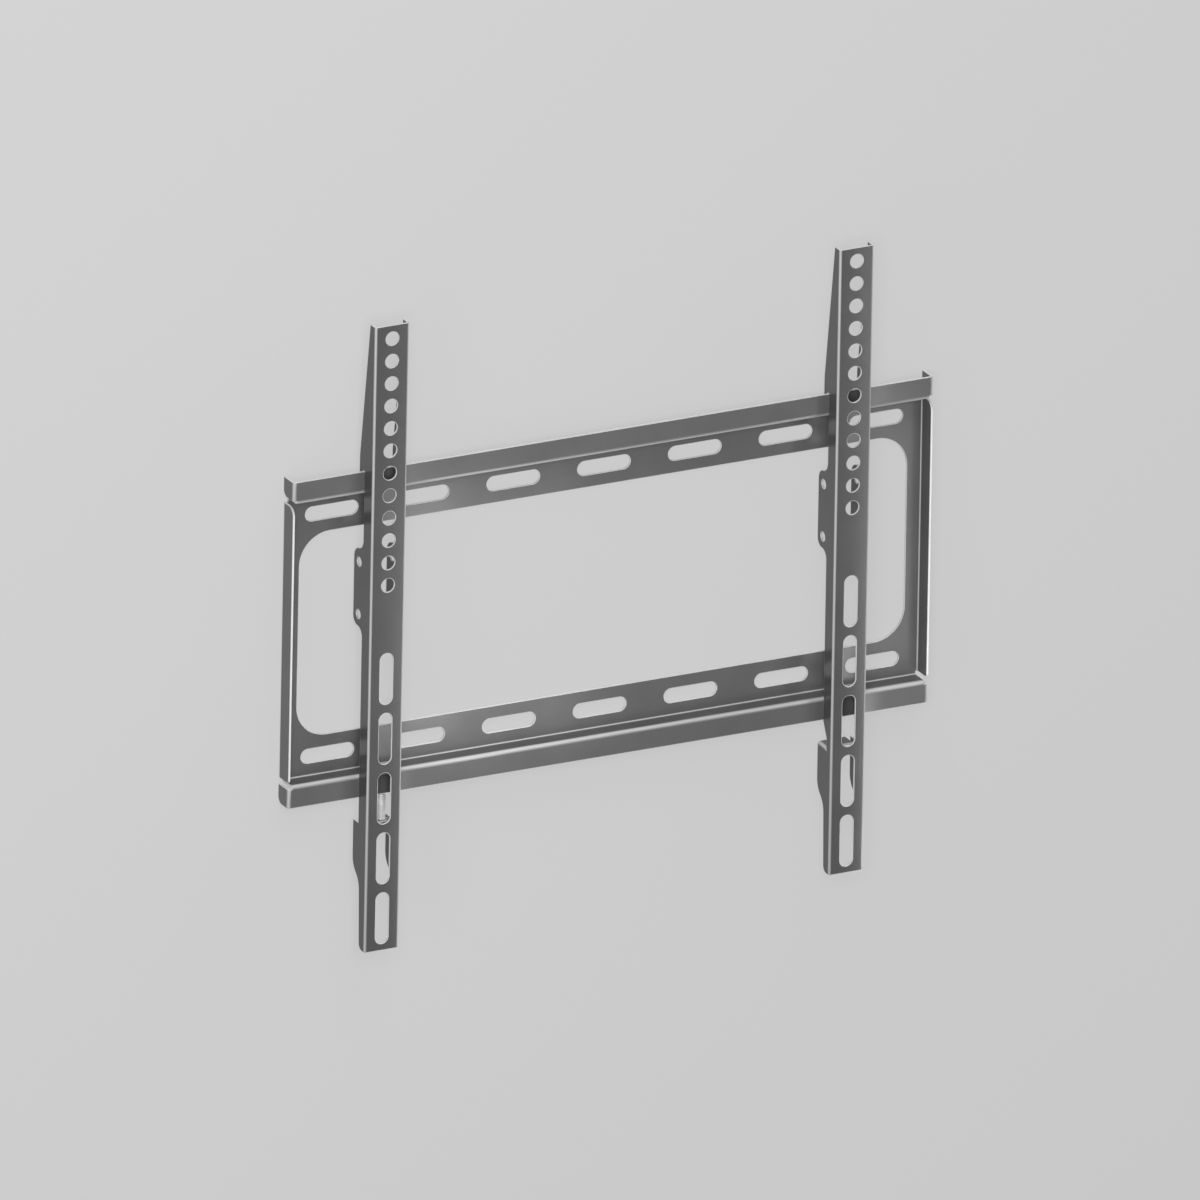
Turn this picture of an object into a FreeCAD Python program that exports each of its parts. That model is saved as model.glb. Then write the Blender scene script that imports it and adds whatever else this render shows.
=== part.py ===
"""A low-profile wall mount: a folded wall plate, two hooked hanging arms and their locking screws.

Millimetres, +Z up, +X to the right, +Y into the wall. The origin is the centre of the wall plate's
back, so the wall is the plane Y = 0 and everything stands in front of it, on the -Y side.
"""
import FreeCAD, Part
import os
import Sketcher

Vector = FreeCAD.Vector

# Driving dimensions, in millimetres unless the name says count.
SIZES = {
    # Wall plate, one folded sheet
    "plate_width": 448.0,
    "plate_height": 218.0,
    "plate_sheet": 1.5,
    "plate_bend": 0.8,           # inside radius of its folds
    "rail_depth": 14.0,          # wall to the front of the lips and side flanges
    "lip_height": 15.0,          # free edge of a lip to the step that carries it
    "rail_height": 41.0,         # free edge of a lip to the window
    "side_width": 11.5,          # side flange to the window
    "window_corner": 21.0,
    "fold_relief": 2.0,          # side flange to the step, so that both can fold
    "flange_top_corner": 6.0,
    "flange_bottom_corner": 2.0,
    "return_relief": 2.25,       # folded-back ends of the lips to the step
    "return_corner": 5.0,
    "return_gap": 0.6,           # their rear edge to the wall
    # Slots for the wall screws
    "wall_slot_count": 7,
    "wall_slot_length": 37.0,
    "wall_slot_height": 9.5,
    "wall_slot_margin": 33.5,    # plate side to the centre of the end slots
    # Hanging arms, a mirrored pair of folded channels
    "arm_inset": 61.5,           # plate side to an arm's centre line
    "arm_width": 24.0,
    "arm_sheet": 1.2,
    "arm_bend": 0.3,             # inside radius of its folds
    "arm_rise": 100.0,           # arm top above the plate
    "arm_drop": 100.0,           # arm foot below the plate
    "saddle_depth": 11.4,        # arm front to the edge that bears on the lips
    "hang_clearance": 0.2,       # between an arm and the lips that it hangs on
    "top_depth": 7.0,            # flange depth at the arm's top
    "hook_height": 9.0,          # full-depth flange above the seat on the lip
    "finger_width": 4.9,         # hook behind the lip
    "finger_gap": 3.7,           # its end to the step below
    # Middle ear of the arm, inside the plate's window
    "ear_drop": 11.0,            # window top to the ear's shoulder
    "ear_length": 53.0,
    "ear_slope": 2.0,
    "ear_curve": 7.4,
    "ear_heel_curve": 6.4,
    "ear_wall_gap": 2.0,
    "ear_hole": 6.0,
    "ear_hole_spacing": 35.0,
    "ear_hole_inset": 7.1,       # ear's rear edge to the holes' centres
    # Lower catch of the arm, with a tab folded into the channel
    "ledge_drop": 16.5,          # plate bottom to the top of the tab
    "catch_reach": 7.1,          # saddle edge to the catch's rear edge
    "catch_length": 30.0,
    "catch_slope": 8.5,
    "catch_curve": 13.5,
    "tail_depth": 9.4,           # flange depth below the catch
    "foot_depth": 8.0,
    "foot_corner": 4.5,
    "neck_cut": 4.9,             # inner flange cut back from the saddle edge, above the tab
    "neck_height": 6.0,
    "neck_taper": 10.0,
    "tab_reach": 4.0,            # saddle edge to the tab's front edge
    "tab_gap": 3.5,              # tab's free end to the outer flange
    "tab_bend": 1.0,             # inside radius of its fold
    "collar_wall": 1.35,         # drawn collar that takes the thread
    "collar_height": 2.0,
    # Round bolt holes and bolt slots in the arm's web
    "bolt_hole": 9.0,
    "bolt_hole_count": 12,
    "bolt_hole_pitch": 15.0,
    "bolt_hole_margin": 9.0,     # arm top to the first hole's centre
    "bolt_slot_width": 9.0,
    "bolt_slot_length": 34.0,
    "bolt_slot_count": 5,
    "bolt_slot_bridge": 6.0,     # web left between two slots
    "bolt_slot_margin": 21.5,    # arm foot to the last slot's centre
    # Locking screws
    "screw_diameter": 6.0,
    "screw_point": 0.8,          # chamfer at its tip
    "head_diameter": 12.0,
    "head_height": 4.6,
    "head_round": 2.2,
    "recess_span": 6.4,          # cross recess in the head
    "recess_width": 1.2,
    "recess_depth": 2.4,
    "recess_taper": 8.0,         # degrees
    "thread_clearance": 0.15,
    "tip_clearance": 0.3,        # screw tip to the bottom lip
    "head_clearance": 0.7,       # screw head to the arm's flange
    "head_gap": 0.3,             # screw head to the collar
}

doc = FreeCAD.newDocument("wall_mount")
sheet = doc.addObject("Spreadsheet::Sheet", "Sizes")
for row, (alias, size) in enumerate(SIZES.items(), start=1):
    sheet.set(f"A{row}", alias)
    sheet.set(f"B{row}", str(size))
    sheet.setAlias(f"B{row}", alias)
doc.recompute()

# Places on the wall plate, as formulas on the sheet.
PLATE_SIDE = "Sizes.plate_width / 2"
PLATE_TOP = "Sizes.plate_height / 2"
PLATE_FOLD = "(Sizes.plate_bend + Sizes.plate_sheet)"
PLATE_LEG = f"({PLATE_FOLD} + Sizes.plate_sheet / 4)"
STEP_FACE = f"({PLATE_TOP} - Sizes.lip_height)"
STEP_BACK = f"({STEP_FACE} + Sizes.plate_sheet)"
LIP_FRONT = "-Sizes.rail_depth"
LIP_BACK = "(Sizes.plate_sheet - Sizes.rail_depth)"
WINDOW_TOP = f"({PLATE_TOP} - Sizes.rail_height)"
WINDOW_SIDE = f"({PLATE_SIDE} - Sizes.side_width)"
FLANGE_TOP = f"({STEP_FACE} - Sizes.fold_relief)"
RETURN_END = f"({STEP_FACE} + Sizes.return_relief)"

# Places on an arm, measured from its own centre line.
ARM_X = f"({PLATE_SIDE} - Sizes.arm_inset)"
ARM_SIDE = "Sizes.arm_width / 2"
ARM_TOP = f"({PLATE_TOP} + Sizes.arm_rise)"
ARM_FOOT = f"(-{PLATE_TOP} - Sizes.arm_drop)"
ARM_FOLD = "(Sizes.arm_bend + Sizes.arm_sheet)"
SADDLE = "(-Sizes.rail_depth - Sizes.hang_clearance)"
ARM_FRONT = f"({SADDLE} - Sizes.saddle_depth)"
WEB_BACK = f"({ARM_FRONT} + Sizes.arm_sheet)"
HOOK_SEAT = f"({PLATE_TOP} + Sizes.hang_clearance)"
FINGER_FRONT = f"({LIP_BACK} + Sizes.hang_clearance)"
FINGER_BACK = f"({FINGER_FRONT} + Sizes.finger_width)"
FINGER_END = f"({STEP_BACK} + Sizes.finger_gap)"
EAR_BACK = "-Sizes.ear_wall_gap"
EAR_TOP = f"({WINDOW_TOP} - Sizes.ear_drop)"
EAR_HEEL = f"({EAR_TOP} - Sizes.ear_length)"
EAR_STEP = f"({EAR_BACK} - {SADDLE})"
LEDGE = f"(-{PLATE_TOP} - Sizes.ledge_drop)"
CATCH_BACK = f"({SADDLE} + Sizes.catch_reach)"
CATCH_END = f"({LEDGE} - Sizes.catch_length)"
CATCH_STEP = "(Sizes.saddle_depth + Sizes.catch_reach - Sizes.tail_depth)"
TAB_FRONT = f"({SADDLE} - Sizes.tab_reach)"
TAB_FOLD = "(Sizes.tab_bend + Sizes.arm_sheet)"
COLLAR_END = f"({LEDGE} - Sizes.arm_sheet - Sizes.collar_height)"
SCREW_HOLE = "(Sizes.screw_diameter + 2 * Sizes.thread_clearance)"

# Places of a locking screw: under the middle of the bottom lip's sheet, clear of the inner flange.
SCREW_X = f"({ARM_SIDE} - Sizes.arm_sheet - Sizes.head_clearance - Sizes.head_diameter / 2)"
SCREW_Y = "(Sizes.plate_sheet / 2 - Sizes.rail_depth)"
SCREW_SEAT = f"({COLLAR_END} - Sizes.head_gap)"
SCREW_TIP = f"(-{PLATE_TOP} - Sizes.tip_clearance)"
SCREW_LENGTH = f"({SCREW_TIP} - {SCREW_SEAT})"

# The two curves of a stepped edge take at most this share of the step between them.
CURVE_SHARE = 0.96

# Faces nearer than this are taken as one when solids are joined or cut.
JOIN_TOLERANCE = 1e-5


def number(formula):
    """The value of a formula on the sheet."""
    return float(sheet.evalExpression(formula))


def point(x, y):
    """A point of a sketch from two formulas."""
    return Vector(number(x), number(y), 0)


def new_body(label):
    """An empty body named for the piece that it becomes."""
    body = doc.addObject("PartDesign::Body", label)
    body.Label = label
    return body


def origin_feature(body, role):
    """One of the body's own origin planes or axes."""
    return next(item for item in body.Origin.OriginFeatures if item.Role == role)


def new_sketch(body, name, plane, offset="0"):
    """A sketch on one of the body's origin planes, moved along the plane's normal by a formula."""
    sketch = body.newObject("Sketcher::SketchObject", name)
    sketch.AttachmentSupport = [(origin_feature(body, plane), "")]
    sketch.MapMode = "FlatFace"
    sketch.setExpression("AttachmentOffset.Base.z", offset)
    return sketch


def bind(sketch, kind, formula, *where):
    """A dimension of a sketch that follows a formula."""
    index = sketch.addConstraint(Sketcher.Constraint(kind, *where, number(formula)))
    sketch.setExpression(f"Constraints[{index}]", formula)


def bind_place(sketch, geometry, position, x, y):
    """Holds a point of the sketch at two formulas, measured from the sketch's origin."""
    bind(sketch, "DistanceX", x, -1, 1, geometry, position)
    bind(sketch, "DistanceY", y, -1, 1, geometry, position)


def rounding(before, corner, after, radius):
    """The arc that rounds a corner, and whether it turns left along the outline."""
    arriving = (corner - before).normalize()
    leaving = (after - corner).normalize()
    reach = radius * ((1 - arriving.dot(leaving)) / (1 + arriving.dot(leaving))) ** 0.5
    start = corner - arriving * reach
    end = corner + leaving * reach
    middle = corner + (leaving - arriving).normalize() * ((reach**2 + radius**2) ** 0.5 - radius)
    left = arriving.cross(leaving).z > 0
    return Part.Arc(start, middle, end) if left else Part.Arc(end, middle, start), start, end, left


def outline(sketch, corners):
    """A closed outline through corners (x, y) or (x, y, radius), all formulas."""
    places = [point(corner[0], corner[1]) for corner in corners]
    count = len(corners)
    arcs = {}
    starts, ends = list(places), list(places)
    for i, corner in enumerate(corners):
        if len(corner) == 3:
            arc, ends[i], starts[i], left = rounding(
                places[i - 1], places[i], places[(i + 1) % count], number(corner[2])
            )
            arcs[i] = (arc, left)
    lines = [
        sketch.addGeometry(Part.LineSegment(starts[i], ends[(i + 1) % count]), False)
        for i in range(count)
    ]
    for i, corner in enumerate(corners):
        before, after = lines[i - 1], lines[i]
        if i not in arcs:
            sketch.addConstraint(Sketcher.Constraint("Coincident", before, 2, after, 1))
            bind_place(sketch, after, 1, corner[0], corner[1])
            continue
        arc, left = arcs[i]
        curve = sketch.addGeometry(arc, False)
        first, last = (1, 2) if left else (2, 1)
        sketch.addConstraint(Sketcher.Constraint("Tangent", before, 2, curve, first))
        sketch.addConstraint(Sketcher.Constraint("Tangent", curve, last, after, 1))
        bind(sketch, "Radius", corner[2], curve)
        tip = sketch.addGeometry(Part.Point(places[i]), True)
        bind_place(sketch, tip, 1, corner[0], corner[1])
        sketch.addConstraint(Sketcher.Constraint("PointOnObject", tip, 1, before))
        sketch.addConstraint(Sketcher.Constraint("PointOnObject", tip, 1, after))


def circle(sketch, x, y, diameter):
    """A circle at two formulas."""
    index = sketch.addGeometry(Part.Circle(point(x, y), Vector(0, 0, 1), number(diameter) / 2), False)
    bind_place(sketch, index, 3, x, y)
    bind(sketch, "Diameter", diameter, index)


def slot(sketch, first, last, width):
    """An obround from the centre of its first end to the centre of its last end."""
    start, end = point(*first), point(*last)
    side = Vector(0, 0, 1).cross((end - start).normalize()) * (number(width) / 2)
    along = (end - start).normalize() * (number(width) / 2)
    caps = [
        sketch.addGeometry(Part.Arc(start + side, start - along, start - side), False),
        sketch.addGeometry(Part.Arc(end - side, end + along, end + side), False),
    ]
    sides = [
        sketch.addGeometry(Part.LineSegment(start - side, end - side), False),
        sketch.addGeometry(Part.LineSegment(end + side, start + side), False),
    ]
    around = [caps[0], sides[0], caps[1], sides[1]]
    for i, after in enumerate(around):
        sketch.addConstraint(Sketcher.Constraint("Tangent", around[i - 1], 2, after, 1))
    sketch.addConstraint(Sketcher.Constraint("Equal", *caps))
    bind(sketch, "Diameter", width, caps[0])
    bind_place(sketch, caps[0], 3, *first)
    bind_place(sketch, caps[1], 3, *last)


def new_feature(body, kind, name):
    """A feature of the body, of the kind named."""
    feature = body.newObject(f"PartDesign::{kind}", name)
    feature.FuzzyTolerance = JOIN_TOLERANCE
    return feature


def pad(body, name, sketch, length, symmetric=False):
    """A sketch made solid along its plane's normal, or both ways from its plane."""
    feature = new_feature(body, "Pad", name)
    feature.Profile = sketch
    feature.SideType = "Symmetric" if symmetric else "One side"
    feature.setExpression("Length", length)
    doc.recompute()
    return feature


def pocket(body, name, sketch, length=None):
    """A sketch cut out behind its plane to a length, or right through both ways, and checked to cut."""
    before = body.Shape.Volume
    feature = new_feature(body, "Pocket", name)
    feature.Profile = sketch
    if length is None:
        feature.SideType = "Symmetric"
        feature.Type = "ThroughAll"
    else:
        feature.setExpression("Length", length)
    doc.recompute()
    if body.Shape.Volume >= before:
        raise RuntimeError(f"{name} cuts nothing")
    return feature


def round_front_edges(body, name, blank, radius):
    """Rounds the two upright front edges of a blank, as the folds of a channel are."""
    front = number(ARM_FRONT)
    upright = []
    for index, edge in enumerate(blank.Shape.Edges, start=1):
        low, high = edge.Vertexes[0].Point, edge.Vertexes[-1].Point
        at_front = max(abs(low.y - front), abs(high.y - front)) < JOIN_TOLERANCE
        if at_front and abs(low.x - high.x) < JOIN_TOLERANCE:
            upright.append(f"Edge{index}")
    fillet = new_feature(body, "Fillet", name)
    fillet.Base = (blank, upright)
    fillet.setExpression("Radius", radius)
    doc.recompute()


def row_of(body, name, feature, axis, count, length, backwards=False):
    """A straight row of a feature, spread over a length along one of the body's axes."""
    pattern = new_feature(body, "LinearPattern", name)
    pattern.Originals = [feature]
    pattern.Direction = (origin_feature(body, axis), [""])
    pattern.Reversed = backwards
    pattern.setExpression("Length", length)
    pattern.setExpression("Occurrences", count)
    body.Tip = pattern
    doc.recompute()


def mirror_sideways(body, name, features):
    """The same features on the other side of the body."""
    mirror = new_feature(body, "Mirrored", name)
    mirror.Originals = features
    mirror.MirrorPlane = (origin_feature(body, "YZ_Plane"), [""])
    body.Tip = mirror
    doc.recompute()


def mirrored_piece(label, source):
    """The opposite hand of a piece, across the middle of the mount."""
    piece = doc.addObject("Part::Mirroring", label)
    piece.Label = label
    piece.Source = source
    piece.Normal = Vector(1, 0, 0)
    return piece


def plate_fold(back, sign):
    """Corners of the section where the plate's sheet turns at its side, from one Y towards another."""
    inner_side = f"({PLATE_SIDE} - Sizes.plate_sheet)"
    inner = f"({back} {sign} Sizes.plate_sheet)"
    root = f"({PLATE_SIDE} - {PLATE_LEG})"
    leg_end = f"({back} {sign} {PLATE_LEG})"
    return [
        (root, back),
        (PLATE_SIDE, back, PLATE_FOLD),
        (PLATE_SIDE, leg_end),
        (inner_side, leg_end),
        (inner_side, inner, "Sizes.plate_bend"),
        (root, inner),
    ]


def make_plate_rails(body):
    """Web, steps and lips: one section of folded sheet, drawn along the plate's width."""
    section = new_sketch(body, "RailSection", "YZ_Plane")
    upper = [
        ("0", STEP_BACK, PLATE_FOLD),
        (LIP_BACK, STEP_BACK, "Sizes.plate_bend"),
        (LIP_BACK, PLATE_TOP),
        (LIP_FRONT, PLATE_TOP),
        (LIP_FRONT, STEP_FACE, PLATE_FOLD),
        ("-Sizes.plate_sheet", STEP_FACE, "Sizes.plate_bend"),
    ]
    lower = [(corner[0], f"-({corner[1]})", *corner[2:]) for corner in reversed(upper)]
    outline(section, upper + lower)
    pad(body, "Rails", section, f"Sizes.plate_width - 2 * {PLATE_LEG}", symmetric=True)


def make_side_flanges(body):
    """Flanges folded forward down both sides of the plate."""
    section = new_sketch(body, "FlangeFoldSection", "XY_Plane")
    outline(section, plate_fold("0", "-"))
    fold = pad(body, "FlangeFold", section, f"2 * {FLANGE_TOP}", symmetric=True)
    face_sketch = new_sketch(body, "FlangeOutline", "YZ_Plane", f"{PLATE_SIDE} - Sizes.plate_sheet")
    outline(
        face_sketch,
        [
            (f"-{PLATE_LEG}", FLANGE_TOP),
            (LIP_FRONT, FLANGE_TOP, "Sizes.flange_top_corner"),
            (LIP_FRONT, f"-{FLANGE_TOP}", "Sizes.flange_bottom_corner"),
            (f"-{PLATE_LEG}", f"-{FLANGE_TOP}"),
        ],
    )
    face = pad(body, "FlangeFace", face_sketch, "Sizes.plate_sheet")
    mirror_sideways(body, "SideFlanges", [fold, face])


def make_lip_returns(body, name, low, high):
    """Ends of one lip, folded back towards the wall, with the lower rear corner rounded."""
    section = new_sketch(body, f"{name}FoldSection", "XY_Plane", low)
    outline(section, plate_fold(LIP_FRONT, "+"))
    fold = pad(body, f"{name}Fold", section, f"{high} - {low}")
    face_sketch = new_sketch(body, f"{name}Outline", "YZ_Plane", f"{PLATE_SIDE} - Sizes.plate_sheet")
    outline(
        face_sketch,
        [
            (f"{LIP_FRONT} + {PLATE_LEG}", high),
            (f"{LIP_FRONT} + {PLATE_LEG}", low),
            ("-Sizes.return_gap", low, "Sizes.return_corner"),
            ("-Sizes.return_gap", high),
        ],
    )
    face = pad(body, f"{name}Face", face_sketch, "Sizes.plate_sheet")
    mirror_sideways(body, f"{name}Pair", [fold, face])


def make_wall_openings(body):
    """The window, and the two rows of slots for the wall screws."""
    window = new_sketch(body, "WindowOutline", "XZ_Plane", "Sizes.plate_sheet")
    outline(
        window,
        [
            (f"-{WINDOW_SIDE}", f"-{WINDOW_TOP}", "Sizes.window_corner"),
            (WINDOW_SIDE, f"-{WINDOW_TOP}", "Sizes.window_corner"),
            (WINDOW_SIDE, WINDOW_TOP, "Sizes.window_corner"),
            (f"-{WINDOW_SIDE}", WINDOW_TOP, "Sizes.window_corner"),
        ],
    )
    pocket(body, "Window", window, "Sizes.plate_sheet")
    first_slot = f"(Sizes.wall_slot_margin - {PLATE_SIDE})"
    half_run = "(Sizes.wall_slot_length - Sizes.wall_slot_height) / 2"
    row = f"({WINDOW_TOP} + {STEP_FACE}) / 2"
    slots = new_sketch(body, "WallSlotOutline", "XZ_Plane", "Sizes.plate_sheet")
    for height in (row, f"-{row}"):
        slot(
            slots,
            (f"{first_slot} - {half_run}", height),
            (f"{first_slot} + {half_run}", height),
            "Sizes.wall_slot_height",
        )
    cut = pocket(body, "WallSlot", slots, "Sizes.plate_sheet")
    row_of(body, "WallSlots", cut, "X_Axis", "Sizes.wall_slot_count", f"-2 * {first_slot}")


def make_wall_plate():
    """The folded sheet that is screwed to the wall."""
    body = new_body("wall_plate")
    make_plate_rails(body)
    make_side_flanges(body)
    make_lip_returns(body, "TopReturn", RETURN_END, PLATE_TOP)
    make_lip_returns(body, "BottomReturn", f"(-{PLATE_TOP})", f"(-{RETURN_END})")
    make_wall_openings(body)
    return body


def step_curve(radius, step, slope):
    """A radius for both corners of a sloped step in an edge, no larger than the step has room for."""
    run = f"hypot({step}; {slope})"
    return f"min({radius}; {CURVE_SHARE} * {run} * {step} / (2 * ({run} - {slope})))"


def make_arm_channel(body):
    """The arm's flanges in side view, hollowed into a channel with rounded folds."""
    side = new_sketch(body, "ArmOutline", "YZ_Plane")
    shoulder_curve = step_curve("Sizes.ear_curve", EAR_STEP, "Sizes.ear_slope")
    heel_curve = step_curve("Sizes.ear_heel_curve", EAR_STEP, "0")
    catch_curve = step_curve("Sizes.catch_curve", CATCH_STEP, "Sizes.catch_slope")
    outline(
        side,
        [
            (ARM_FRONT, ARM_TOP),
            (ARM_FRONT, ARM_FOOT),
            (f"{ARM_FRONT} + Sizes.foot_depth", ARM_FOOT, "Sizes.foot_corner"),
            (f"{ARM_FRONT} + Sizes.tail_depth", f"{CATCH_END} - Sizes.catch_slope", catch_curve),
            (CATCH_BACK, CATCH_END, catch_curve),
            (CATCH_BACK, LEDGE),
            (SADDLE, LEDGE),
            (SADDLE, EAR_HEEL, heel_curve),
            (EAR_BACK, EAR_HEEL, heel_curve),
            (EAR_BACK, f"{EAR_TOP} - Sizes.ear_slope", shoulder_curve),
            (SADDLE, EAR_TOP, shoulder_curve),
            (SADDLE, HOOK_SEAT),
            (FINGER_FRONT, HOOK_SEAT),
            (FINGER_FRONT, FINGER_END),
            (FINGER_BACK, FINGER_END),
            (FINGER_BACK, f"{HOOK_SEAT} + Sizes.hook_height"),
            (f"{ARM_FRONT} + Sizes.top_depth", ARM_TOP),
        ],
    )
    blank = pad(body, "ArmBlank", side, "Sizes.arm_width", symmetric=True)
    round_front_edges(body, "ArmFolds", blank, ARM_FOLD)
    hollow = new_sketch(body, "ChannelSection", "XY_Plane")
    inside = f"({ARM_SIDE} - Sizes.arm_sheet)"
    outline(
        hollow,
        [
            (f"-{inside}", "0"),
            (f"-{inside}", WEB_BACK, "Sizes.arm_bend"),
            (inside, WEB_BACK, "Sizes.arm_bend"),
            (inside, "0"),
        ],
    )
    pocket(body, "Channel", hollow)


def make_arm_holes(body):
    """Bolt holes and bolt slots down the web, and the two holes through the ears."""
    front = f"-{ARM_FRONT}"
    hole = new_sketch(body, "BoltHoleOutline", "XZ_Plane", front)
    circle(hole, "0", f"{ARM_TOP} - Sizes.bolt_hole_margin", "Sizes.bolt_hole")
    cut = pocket(body, "BoltHole", hole, "Sizes.arm_sheet")
    hole_run = "Sizes.bolt_hole_pitch * (Sizes.bolt_hole_count - 1)"
    row_of(body, "BoltHoles", cut, "Z_Axis", "Sizes.bolt_hole_count", hole_run, backwards=True)

    half_run = "(Sizes.bolt_slot_length - Sizes.bolt_slot_width) / 2"
    last_slot = f"({ARM_FOOT} + Sizes.bolt_slot_margin)"
    opening = new_sketch(body, "BoltSlotOutline", "XZ_Plane", front)
    slot(
        opening,
        ("0", f"{last_slot} - {half_run}"),
        ("0", f"{last_slot} + {half_run}"),
        "Sizes.bolt_slot_width",
    )
    cut = pocket(body, "BoltSlot", opening, "Sizes.arm_sheet")
    slot_pitch = "(Sizes.bolt_slot_length + Sizes.bolt_slot_bridge)"
    slot_run = f"{slot_pitch} * (Sizes.bolt_slot_count - 1)"
    row_of(body, "BoltSlots", cut, "Z_Axis", "Sizes.bolt_slot_count", slot_run)

    ear_middle = f"(({EAR_TOP} + {EAR_HEEL} - Sizes.ear_slope) / 2)"
    ear_holes = new_sketch(body, "EarHoleOutline", "YZ_Plane")
    for side in ("+", "-"):
        circle(
            ear_holes,
            f"{EAR_BACK} - Sizes.ear_hole_inset",
            f"{ear_middle} {side} Sizes.ear_hole_spacing / 2",
            "Sizes.ear_hole",
        )
    pocket(body, "EarHoles", ear_holes)


def make_arm_tab(body):
    """The inner flange's tab, folded into the channel, with its drawn collar and screw hole."""
    neck = f"({SADDLE} - Sizes.neck_cut)"
    neck_top = f"({LEDGE} + Sizes.neck_height)"
    fold_start = f"({LEDGE} - {TAB_FOLD})"
    relief = new_sketch(body, "NeckOutline", "YZ_Plane", ARM_SIDE)
    outline(
        relief,
        [
            (SADDLE, f"{neck_top} + Sizes.neck_taper"),
            (neck, neck_top),
            (neck, fold_start),
            (CATCH_BACK, fold_start),
            (CATCH_BACK, LEDGE),
            (SADDLE, LEDGE),
        ],
    )
    pocket(body, "Neck", relief, "Sizes.arm_sheet")

    section = new_sketch(body, "TabSection", "XZ_Plane", f"-{CATCH_BACK}")
    inner_face = f"({ARM_SIDE} - Sizes.arm_sheet)"
    underside = f"({LEDGE} - Sizes.arm_sheet)"
    tab_end = f"(Sizes.tab_gap - {inner_face})"
    root = f"({LEDGE} - 2 * {TAB_FOLD})"
    outline(
        section,
        [
            (ARM_SIDE, LEDGE, TAB_FOLD),
            (tab_end, LEDGE),
            (tab_end, underside),
            (inner_face, underside, "Sizes.tab_bend"),
            (inner_face, root),
            (ARM_SIDE, root),
        ],
    )
    pad(body, "Tab", section, f"{CATCH_BACK} - {TAB_FRONT}")

    collar = new_sketch(body, "CollarOutline", "XY_Plane", COLLAR_END)
    circle(collar, SCREW_X, SCREW_Y, f"{SCREW_HOLE} + 2 * Sizes.collar_wall")
    pad(body, "Collar", collar, "Sizes.collar_height + Sizes.arm_sheet / 2")
    hole = new_sketch(body, "ScrewHoleOutline", "XY_Plane", LEDGE)
    circle(hole, SCREW_X, SCREW_Y, SCREW_HOLE)
    pocket(body, "ScrewHole", hole, "Sizes.arm_sheet + Sizes.collar_height")


def make_left_arm():
    """The left hanging arm, whose inner flange is the one towards the middle of the plate."""
    body = new_body("left_arm")
    make_arm_channel(body)
    make_arm_holes(body)
    make_arm_tab(body)
    body.setExpression("Placement.Base.x", f"-{ARM_X}")
    return body


def make_left_locking_screw():
    """The pan-head screw in the left arm's tab, driven from below through a cross recess."""
    body = new_body("left_locking_screw")
    half = new_sketch(body, "ScrewSection", "XZ_Plane")
    radius = "(Sizes.screw_diameter / 2)"
    head_radius = "(Sizes.head_diameter / 2)"
    crown = "min(Sizes.head_round; Sizes.head_height / 2)"
    outline(
        half,
        [
            ("0", "-Sizes.head_height"),
            (head_radius, "-Sizes.head_height", crown),
            (head_radius, "0"),
            (radius, "0"),
            (radius, f"{SCREW_LENGTH} - Sizes.screw_point"),
            (f"{radius} - Sizes.screw_point", SCREW_LENGTH),
            ("0", SCREW_LENGTH),
        ],
    )
    turned = new_feature(body, "Revolution", "Screw")
    turned.Profile = half
    turned.ReferenceAxis = (half, ["V_Axis"])
    doc.recompute()

    recess = new_sketch(body, "RecessOutline", "XY_Plane", "-Sizes.head_height")
    arm, width = "Sizes.recess_span / 2", "Sizes.recess_width / 2"
    quarter = [(width, arm), (width, width), (arm, width)]
    right_half = quarter + [(x, f"-{y}") for x, y in reversed(quarter)]
    left_half = [(f"-{x}", y) for x, y in reversed(right_half)]
    outline(recess, right_half + left_half)
    before = body.Shape.Volume
    cut = new_feature(body, "Pocket", "Recess")
    cut.Profile = recess
    cut.Reversed = True
    cut.setExpression("Length", "Sizes.recess_depth")
    cut.setExpression("TaperAngle", "-Sizes.recess_taper")
    doc.recompute()
    if body.Shape.Volume >= before:
        raise RuntimeError("the recess cuts nothing")

    body.setExpression("Placement.Base.x", f"{SCREW_X} - {ARM_X}")
    body.setExpression("Placement.Base.y", SCREW_Y)
    body.setExpression("Placement.Base.z", SCREW_SEAT)
    return body


def check(pieces):
    """Stops if any object failed, or any piece isn't one valid solid."""
    for item in doc.Objects:
        if "Invalid" in item.State or "Error" in item.State:
            raise RuntimeError(f"{item.Name} is {item.State}")
    for piece in pieces:
        if piece.Shape.isNull() or not piece.Shape.isValid() or len(piece.Shape.Solids) != 1:
            raise RuntimeError(f"{piece.Label} isn't one valid solid")


wall_plate = make_wall_plate()
left_arm = make_left_arm()
right_arm = mirrored_piece("right_arm", left_arm)
left_locking_screw = make_left_locking_screw()
right_locking_screw = mirrored_piece("right_locking_screw", left_locking_screw)
doc.recompute()

pieces = [wall_plate, left_arm, right_arm, left_locking_screw, right_locking_screw]
check(pieces)
os.makedirs("parts", exist_ok=True)
for piece in pieces:
    piece.Shape.exportStep(f"parts/{piece.Label}.step")
    box = piece.Shape.BoundBox
    print(piece.Label, f"{piece.Shape.Volume / 1000:.2f} cm3", f"X {box.XMin:.2f} to {box.XMax:.2f}",
          f"Y {box.YMin:.2f} to {box.YMax:.2f}", f"Z {box.ZMin:.2f} to {box.ZMax:.2f}")
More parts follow.
